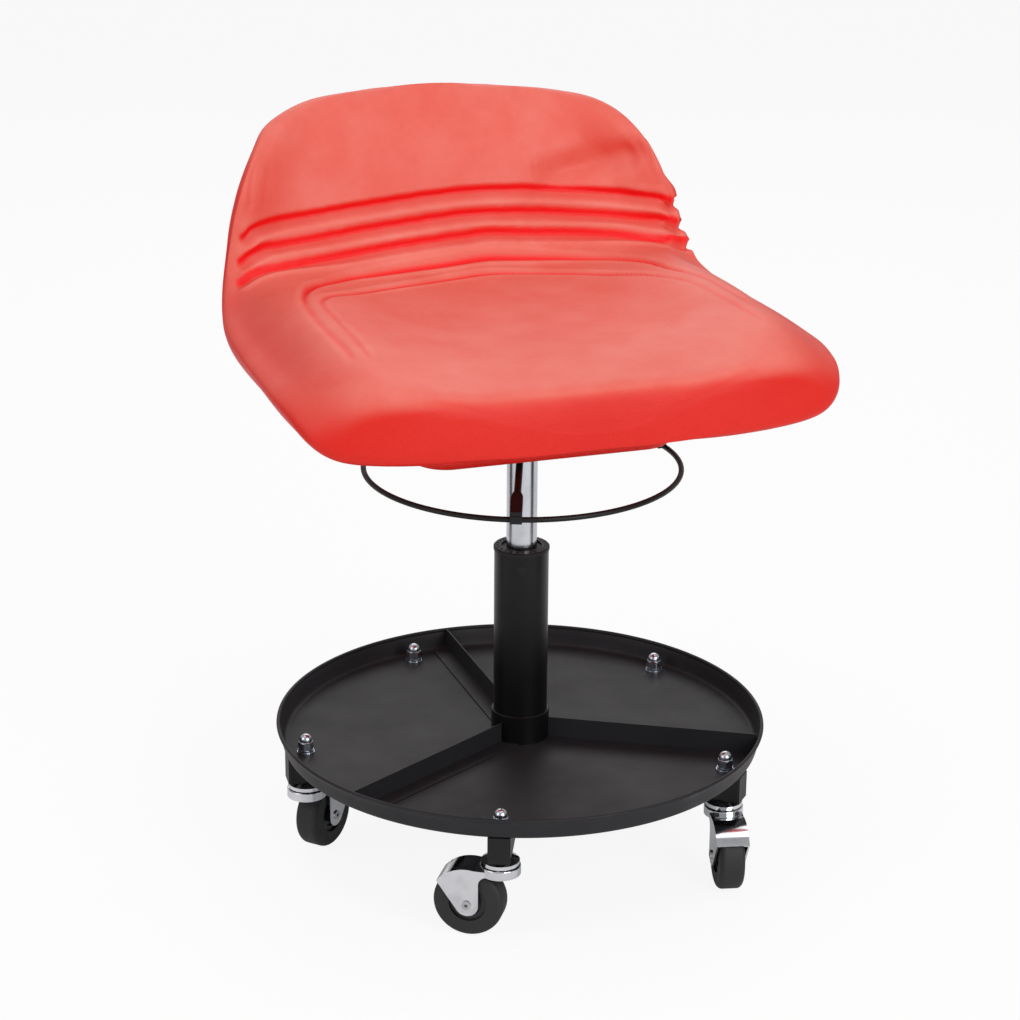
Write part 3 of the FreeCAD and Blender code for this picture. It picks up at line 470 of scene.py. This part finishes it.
def nearest_on(line, points):
    """Distance from each point to a line of short runs, and the nearest place on it."""
    best = np.full(len(points), 1e9)
    place = np.zeros_like(points)
    share = np.zeros(len(points))
    for k in range(len(line) - 1):
        run = line[k + 1] - line[k]
        t = np.clip(((points - line[k]) @ run) / max(run @ run, 1e-9), 0, 1)
        foot = line[k] + t[:, None] * run
        gap = np.linalg.norm(points - foot, axis=1)
        closer = gap < best
        best[closer] = gap[closer]
        place[closer] = foot[closer]
        share[closer] = (k + t[closer]) / (len(line) - 1)
    return best, place, share


def step_up(value, start, end):
    """Rises softly from 0 at the start to 1 at the end."""
    t = np.clip((value - start) / (end - start), 0, 1)
    return t * t * (3 - 2 * t)


def bell(value, width):
    return np.exp(-(value / width) ** 2)


def band(value, width):
    """A bell with a flat top and steep sides."""
    return np.exp(-(value / width) ** 4)


def ridges(value, shapes):
    """Bells added up, each given by its height, place and width. Below 0 is a furrow."""
    return sum(height * bell(value - place, width) for height, place, width in shapes)


wing_swell = 6.5


def swollen_wing(grid, normal):
    """The edge of the right wing stands out a little where the channels run over it."""
    x, y, z = grid[:, :, 0], grid[:, :, 1], grid[:, :, 2]
    forward = step_up(-normal[:, :, 1], -0.05, 0.4) * step_up(np.abs(normal[:, :, 0]), 0.35, 0.85)
    zone = step_up(z, 490, 508) * (1 - step_up(z, 560, 582)) * (y > 140)
    return grid + normal * (wing_swell * forward * zone * (x > 0))[:, :, None]


def painted_light_and_sheen(grid, tone):
    """Painted light and sheen: how much each point is painted paler, more where it faces up or,
    on the backrest, forward and a little up, less at the sides of the pan, with the painted lip
    light added.
    """
    normal = grid_normals(grid)
    up, forward = normal[:, :, 2], -normal[:, :, 1]
    # painted light: on the backrest the paler colour follows a direction that points forward and
    # a little up
    facing_forward_up = 0.37 * up + 0.93 * forward
    facing = np.where(grid[:, :, 1] > 120, np.maximum(up, facing_forward_up), up)
    # painted shade: the sides of the pan are left redder than the middle
    border = step_up(np.abs(grid[:, :, 0]), 188, 232) * (1 - step_up(grid[:, :, 1], 140, 200))
    painted_light_level, painted_light_cut_at_sides = 0.8, 0.4
    painted_light_share = np.clip(painted_light_level + tone - painted_light_cut_at_sides * border, 0, 1)
    return step_up(facing, 0.3, 0.85) * painted_light_share


# Sections of the channels, as the height, place and width of their ridges and furrows
# in mm. Places count downwards from the line across the back, away from it on the pan.
back_groove_depth, back_groove_place, back_groove_widths = 4.4, 2.6, (3.4, 5.2)
back_ridges = ((0.5, -5.5, 3.0), (1.8, 14.5, 3.2))
wing_notch = (-5.0, 8.0, 3.2)
wing_lips, wing_lip_place = (0.5, 2.5, 4.0), (-1.0, 3.5)
# where the painted shade in a back channel lies and how wide it is
back_painted_shade_place, back_painted_shade_width = 0.7, 3.6
pan_ridge = (0.9, 9.0, 3.4)
pan_depths, pan_widths, pan_widths_across = (4.6, 3.4), (2.4, 2.0), (2.0, 1.8)
# Painted highlight and shade beside the channels: how much paler on the lit lips or redder in the
# shaded hollows the skin is painted, with places given the same way
back_lip_painted_light = ((0.3, 15.0, 2.0), (-0.3, 7.5, 3.6))
pan_lip_painted_light, pan_fade = 0.25, 0.35


class Surface:
    """The cushion's surface while it is worked on, with a value at each point for the shift along
    its normal, the painted shade in a channel and the painted highlight or shade beside it."""

    def __init__(self, grid):
        self.normal = grid_normals(grid)
        self.grid = swollen_wing(grid, self.normal)
        self.shift, self.depth, self.tone = (np.zeros(grid.shape[:2]) for _ in range(3))
        past_edge = 6
        reach = top_count + past_edge
        self.top = np.zeros(grid.shape[:2], bool)
        self.top[:, :reach] = True
        self.top[:, -reach:] = True

    def coordinates(self):
        return (self.grid[:, :, k] for k in range(3))

    def press(self, zone, shift, depth, tone):
        """Adds a channel's shift, painted shade and painted lip light at the points of the zone.
        """
        self.shift[zone] += shift
        self.depth[zone] = np.maximum(self.depth[zone], depth)
        self.tone[zone] += tone


def press_back_channels(surface):
    """Across the backrest: a furrow with two low ridges, and notches in the wing's edge."""
    _, y, z = surface.coordinates()
    back = surface.top & (y > 130) & (z > 495) & (z < 612)
    cloud = surface.grid[back]
    wing = step_up(cloud[:, 0], 204, 214)
    for channel, lip in zip(back_channels, wing_lips):
        gap, place, share = nearest_on(drop_on(eased(channel), cloud, (0, 1, 2)), cloud)
        above = cloud[:, 2] - place[:, 2] > 0.55 * (place[:, 1] - cloud[:, 1])
        below = np.where(above, -gap, gap)
        ends = step_up(share, 0.0, 0.02) * step_up(1 - share, 0.0, 0.01)
        groove = bell(below - back_groove_place,
                      np.where(below < back_groove_place, *back_groove_widths))
        pressed = ridges(below, back_ridges) - back_groove_depth * groove
        edge = ridges(below, ((lip, *wing_lip_place), wing_notch))
        # painted shade in the channel's band, and painted highlight and shade on the lips beside
        # it
        surface.press(back, (pressed * (1 - wing) + edge * wing) * ends,
                      band(below - back_painted_shade_place, back_painted_shade_width) * ends,
                      ridges(below, back_lip_painted_light) * ends)


def press_folds(surface):
    for line, deep, width in folds:
        route = drop_on(eased(line), surface.grid[surface.top], (0, 1, 2))
        gap, _, share = nearest_on(route, surface.grid.reshape(-1, 3))
        ends = step_up(share, 0.0, 0.3) * step_up(1 - share, 0.0, 0.2)
        fold = (deep * bell(gap, width) * ends).reshape(surface.shift.shape)
        surface.shift -= fold * surface.top


def press_pan_channels(surface):
    """Round the pan: shallow along its sides, wider and deeper across its rear."""
    _, y, z = surface.coordinates()
    pan = surface.top & (y > -140) & (y < 205) & (z < 545)
    cloud = surface.grid[pan]
    for channel, deep, along, wider in zip(pan_channels, pan_depths, pan_widths,
                                           pan_widths_across):
        gap, place, share = nearest_on(drop_on(eased(channel), cloud, (0, 1)), cloud)
        ends = step_up(share, 0.0, 0.03) * step_up(1 - share, 0.0, 0.06)
        fade = pan_fade + (1 - pan_fade) * step_up(place[:, 1], 40, 120)
        across = step_up(place[:, 1], 85, 130)
        width = along + wider * across
        # painted shade in each channel, and a painted highlight on the ridge beside it
        surface.press(pan, ridges(gap, (pan_ridge, (-deep, 0, width))) * ends * fade,
                      band(gap, width - 0.6 * across) * ends * fade,
                      pan_lip_painted_light * bell(gap - width * 2.4, 2.4) * ends * fade)


def uneven(surface):
    """The skin is never quite even."""
    x, y, z = surface.coordinates()
    calm = 1 - step_up(z, 612, 645)
    surface.shift += 0.35 * np.sin(x / 37 + 1.3) * np.sin(y / 29 + z / 41) * calm
    surface.shift += 0.2 * np.sin(x / 17 + y / 23) * np.sin(z / 19 + 0.7) * calm


# Rings that round off an end: their size as a share of the end ring, and how far out
cap_rings = ((0.93, 0.1), (0.78, 0.3), (0.5, 0.5), (0.2, 0.6))
nose_outward, crest_outward = np.array((0, -1, 0)), np.array((0, 0.56, 0.83))


def placed(name, data):
    """A new object in the scene with this mesh, lamp or camera."""
    piece = bpy.data.objects.new(name, data)
    bpy.context.scene.collection.objects.link(piece)
    return piece


def closed_mesh(name, grid, levels):
    """A closed mesh from the rings, with rounded ends, and the levels as attributes."""
    caps = []
    for ring, outward in ((grid[0], nose_outward), (grid[-1], crest_outward)):
        middle = ring.mean(axis=0)
        caps.append([middle + (ring - middle) * shrink + outward * push
                     for shrink, push in cap_rings])
    rings = caps[0][::-1] + list(grid) + caps[1]
    count = grid.shape[1]
    vertices = np.concatenate(rings + [[rings[0].mean(axis=0)], [rings[-1].mean(axis=0)]])
    numbers = np.arange(len(rings) * count).reshape(len(rings), count)
    a, b = numbers[:-1], numbers[1:]
    faces = np.stack([a, np.roll(a, -1, 1), np.roll(b, -1, 1), b], -1).reshape(-1, 4).tolist()
    first, last = len(rings) * count, len(rings) * count + 1
    faces += [[first, int(numbers[0][(k + 1) % count]), int(numbers[0][k])]
              for k in range(count)]
    faces += [[last, int(numbers[-1][k]), int(numbers[-1][(k + 1) % count])]
              for k in range(count)]
    mesh = bpy.data.meshes.new(name)
    mesh.from_pydata((vertices * MM).tolist(), [], faces)
    plain = np.zeros((len(cap_rings), count))
    for label, values in levels.items():
        level = mesh.attributes.new(label, "FLOAT", "POINT")
        values = np.concatenate([plain, values, plain]).ravel()
        level.data.foreach_set("value", np.concatenate([values, [0, 0]]).astype(np.float32))
    return placed(name, mesh)


def select_only(*chosen):
    if bpy.context.mode != "OBJECT":
        bpy.ops.object.mode_set(mode="OBJECT")
    bpy.ops.object.select_all(action="DESELECT")
    for piece in chosen:
        piece.select_set(True)
    bpy.context.view_layer.objects.active = chosen[0]


def outward_normals(piece):
    select_only(piece)
    bpy.ops.object.mode_set(mode="EDIT")
    bpy.ops.mesh.select_all(action="SELECT")
    bpy.ops.mesh.normals_make_consistent(inside=False)
    bpy.ops.object.mode_set(mode="OBJECT")


def soften_nose(piece):
    """Rounds the lower front edge of the cushion."""
    behind, above = -186 * MM, 480 * MM
    select_only(piece)
    bpy.ops.object.mode_set(mode="EDIT")
    bpy.ops.mesh.select_all(action="DESELECT")
    bpy.ops.object.mode_set(mode="OBJECT")
    for v in piece.data.vertices:
        v.select = v.co.y < behind and v.co.z < above
    bpy.ops.object.mode_set(mode="EDIT")
    bpy.ops.mesh.vertices_smooth(factor=0.5, repeat=40)
    bpy.ops.object.mode_set(mode="OBJECT")


def rounded_outline(half_x, half_y, corner, height, steps=12):
    """A rounded rectangle at one height, in mm."""
    points = []
    for side_x, side_y, start in ((1, 1, 0), (-1, 1, 90), (-1, -1, 180), (1, -1, 270)):
        for k in range(steps + 1):
            angle = math.radians(start + 90 * k / steps)
            points.append((side_x * (half_x - corner) + corner * math.cos(angle),
                           side_y * (half_y - corner) + corner * math.sin(angle), height))
    return points


def stacked_piece(name, outlines):
    """A closed piece whose skin runs from outline to outline."""
    count = len(outlines[0])
    faces = []
    for k in range(len(outlines) - 1):
        for j in range(count):
            a, b = k * count + j, k * count + (j + 1) % count
            faces.append((a, b, b + count, a + count))
    faces += [tuple(range(count)), tuple(range((len(outlines) - 1) * count,
                                               len(outlines) * count))]
    mesh = bpy.data.meshes.new(name)
    mesh.from_pydata((np.concatenate(outlines) * MM).tolist(), [], faces)
    return placed(name, mesh)


def seat_skin():
    """The cushion with its channels, folds, painted shade in the channels and painted light and
    sheen on its upward and forward faces.
    """
    surface = Surface(cushion_grid())
    press_back_channels(surface)
    press_folds(surface)
    press_pan_channels(surface)
    uneven(surface)
    grid = surface.grid + surface.normal * surface.shift[:, :, None]
    seat = closed_mesh("seat_skin", grid, {
        "channel_painted_shade": surface.depth, "painted_light_and_sheen": painted_light_and_sheen(grid, surface.tone)})
    outward_normals(seat)
    soften_nose(seat)
    bpy.ops.object.shade_smooth()
    seat.data.materials.append(foam_skin)
    return seat


def seat_boss_skin():
    """The boss below the cushion, hollow in the middle for the mounting plate."""
    half_x, half_y, corner, foot, root = 123, 84, 34, 398, 452
    edge, edge_steps = 9, 6
    pocket_half, pocket_corner, pocket_edge, pocket_roof = 75, 24, 1.5, 434.5
    outlines = [rounded_outline(half_x, half_y, corner, root)]
    for k in range(edge_steps + 1):
        angle = math.radians(90 * k / edge_steps)
        inset = edge * (1 - math.cos(angle))
        rise = edge * (1 - math.sin(angle))
        outlines.append(rounded_outline(half_x - inset, half_y - inset, corner - inset,
                                        foot + rise))
    outlines += [
        rounded_outline(pocket_half + pocket_edge, pocket_half + pocket_edge,
                        pocket_corner + pocket_edge, foot),
        rounded_outline(pocket_half, pocket_half, pocket_corner, foot + pocket_edge),
        rounded_outline(pocket_half, pocket_half, pocket_corner, pocket_roof)]
    boss = stacked_piece("seat_boss_skin", outlines)
    outward_normals(boss)
    bpy.ops.object.shade_smooth_by_angle(angle=math.radians(35))
    boss.data.materials.append(foam_skin)
    return boss


seat = seat_skin()
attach(seat, "seat")
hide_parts("seat_cushion")

boss = seat_boss_skin()
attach(boss, "seat")
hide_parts("seat_cushion")


# Tray: one pressing with a rolled rim, turned from its section

def arc(centre, radius, start, end, steps):
    """Points on an arc of the section, angles in degrees from outwards to up."""
    return [(centre[0] + radius * math.cos(math.radians(start + (end - start) * k / steps)),
             centre[1] + radius * math.sin(math.radians(start + (end - start) * k / steps)))
            for k in range(steps + 1)]


def turned_pressing(name, section, steps):
    """A closed section (radius, height) in mm, spun once round the column's axis."""
    mesh = bpy.data.meshes.new(name)
    points = [(r * MM, 0, h * MM) for r, h in section]
    mesh.from_pydata(points, [(k, (k + 1) % len(points)) for k in range(len(points))], [])
    piece = placed(name, mesh)
    select_only(piece)
    bpy.ops.object.mode_set(mode="EDIT")
    bpy.ops.mesh.select_all(action="SELECT")
    bpy.ops.mesh.spin(steps=steps, angle=2 * math.pi, center=(0, 0, 0), axis=(0, 0, 1))
    bpy.ops.mesh.select_all(action="SELECT")
    bpy.ops.mesh.remove_doubles(threshold=0.00001)
    bpy.ops.mesh.normals_make_consistent(inside=False)
    bpy.ops.object.mode_set(mode="OBJECT")
    bpy.ops.object.shade_smooth_by_angle(angle=math.radians(40))
    return piece


def tray_pressing():
    """The tray, its section in mm: out along the underside, round the bead and back."""
    under, floor = 101.5, 103.0
    floor_radii = [27.0, 60.0, 120.0, 180.0]
    bend_centre, bend_outside, bend_inside = (217.0, 106.5), 5.0, 3.5
    bead_centre, bead_radius = (225.2, 120.7), 1.8
    steps_round = 240
    section = (
        [(radius, under) for radius in floor_radii]
        + arc(bend_centre, bend_outside, -90, -14, 8)
        + [(223.6, 112.0), (224.7, 116.5)]
        + arc(bead_centre, bead_radius, -70, 240, 14)
        + [(223.1, 116.5), (222.1, 112.0)]
        + arc(bend_centre, bend_inside, -14, -90, 8)
        + [(radius, floor) for radius in reversed(floor_radii)])
    tray = turned_pressing("tray_pressing", section, steps_round)
    tray.data.materials.append(finishes["tray_powder_coat"])
    return tray


tray = tray_pressing()
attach(tray, "base")
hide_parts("tray")


# Room: a pale floor that keeps the shadow, soft lamps and the camera

def floor_material():
    """Pale paint that glows to the camera, so that its shadows stay soft and light."""
    glow_in_camera, glow_in_mirrors = 0.9, 0.2
    material = bpy.data.materials.new("pale_floor")
    material.use_nodes = True
    tree = material.node_tree
    shader = tree.nodes["Principled BSDF"]
    shader.inputs["Base Color"].default_value = (0.9, 0.9, 0.9, 1)
    shader.inputs["Roughness"].default_value = 0.9
    shader.inputs["Specular IOR Level"].default_value = 0.1
    glow = tree.nodes.new("ShaderNodeEmission")
    seen = tree.nodes.new("ShaderNodeLightPath")
    either = tree.nodes.new("ShaderNodeMath")
    either.operation = "MULTIPLY_ADD"
    either.inputs[1].default_value = glow_in_mirrors
    tree.links.new(seen.outputs["Is Glossy Ray"], either.inputs[0])
    tree.links.new(seen.outputs["Is Camera Ray"], either.inputs[2])
    part = tree.nodes.new("ShaderNodeMath")
    part.operation = "MULTIPLY"
    part.inputs[1].default_value = glow_in_camera
    tree.links.new(either.outputs["Value"], part.inputs[0])
    blend = tree.nodes.new("ShaderNodeMixShader")
    tree.links.new(part.outputs["Value"], blend.inputs["Fac"])
    tree.links.new(shader.outputs["BSDF"], blend.inputs[1])
    tree.links.new(glow.outputs["Emission"], blend.inputs[2])
    tree.links.new(blend.outputs["Shader"], tree.nodes["Material Output"].inputs["Surface"])
    return material


bpy.ops.object.select_all(action="DESELECT")
bpy.ops.mesh.primitive_plane_add(size=40, location=(0, 0, 0))
floor = bpy.context.object
floor.name = "floor"
floor.data.materials.append(floor_material())

def studio_world():
    """A sky that lights the object softly and is plain white behind it."""
    world = bpy.data.worlds.new("studio")
    world.use_nodes = True
    tree = world.node_tree
    sky = tree.nodes["Background"]
    sky.inputs["Color"].default_value = (1, 1, 1, 1)
    sky.inputs["Strength"].default_value = 0.42
    seen = tree.nodes.new("ShaderNodeLightPath")
    white = tree.nodes.new("ShaderNodeBackground")
    white.inputs["Color"].default_value = (1, 1, 1, 1)
    choose = tree.nodes.new("ShaderNodeMixShader")
    tree.links.new(seen.outputs["Is Camera Ray"], choose.inputs["Fac"])
    tree.links.new(sky.outputs["Background"], choose.inputs[1])
    tree.links.new(white.outputs["Background"], choose.inputs[2])
    tree.links.new(choose.outputs["Shader"], tree.nodes["World Output"].inputs["Surface"])
    return world


bpy.context.scene.world = studio_world()


def soft_lamp(name, place, target, size_x, size_y, watts):
    """A rectangular lamp that faces its target. Metres and watts."""
    data = bpy.data.lights.new(name, "AREA")
    data.shape = "RECTANGLE"
    data.size, data.size_y = size_x, size_y
    data.energy = watts
    lamp = placed(name, data)
    lamp.location = place
    lamp.rotation_mode = "QUATERNION"
    lamp.rotation_quaternion = (Vector(target) - Vector(place)).to_track_quat("-Z", "Y")


soft_lamp("overhead_lamp", (0.0, 0.0, 2.6), (0, 0, 0.4), 2.0, 1.8, 14)
soft_lamp("rear_lamp", (0.7, 2.3, 2.0), (0, 0, 0.45), 2.2, 1.4, 15)
soft_lamp("front_lamp", (0.8, -2.5, 1.5), (0, 0, 0.5), 1.6, 1.6, 36)
soft_lamp("left_lamp", (-2.4, -0.6, 1.6), (0, 0, 0.4), 1.4, 1.8, 13)


def dark_panel(name, angle):
    """A low dark panel beside the camera's view, seen only in the bright metal."""
    distance, size = 0.75, 0.36
    turn = math.radians(angle)
    middle = Vector((math.cos(turn), math.sin(turn), 0)) * distance
    bpy.ops.object.select_all(action="DESELECT")
    bpy.ops.mesh.primitive_plane_add(size=size, location=(middle.x, middle.y, size / 2),
                                     rotation=(math.pi / 2, 0, math.radians(angle + 90)))
    panel = bpy.context.object
    panel.name = name
    cloth = bpy.data.materials.new(name)
    cloth.use_nodes = True
    cloth.node_tree.nodes["Principled BSDF"].inputs["Base Color"].default_value = (
        0.01, 0.01, 0.01, 1)
    panel.data.materials.append(cloth)
    panel.visible_camera = False
    panel.visible_diffuse = False
    panel.visible_shadow = False


dark_panel("dark_panel_right", -28)
dark_panel("dark_panel_left", 158)

# The camera, shifted by a few pixels of the square picture and rolled a little
picture_size = 1020
aim = Vector((0, 0, 0.27867))
spot = Vector((-0.8154, -2.3027, 1.1999))
roll = math.radians(0.53)
camera_data = bpy.data.cameras.new("camera")
camera_data.lens = 100.68
camera_data.sensor_width = 36
camera_data.shift_x = -11.49 / picture_size
camera_data.shift_y = 47.73 / picture_size
camera = placed("camera", camera_data)
turn = (aim - spot).to_track_quat("-Z", "Y").to_matrix() @ Matrix.Rotation(roll, 3, "Z")
camera.matrix_world = Matrix.Translation(spot) @ turn.to_4x4()
bpy.context.scene.camera = camera
bpy.context.scene.view_settings.view_transform = "Standard"
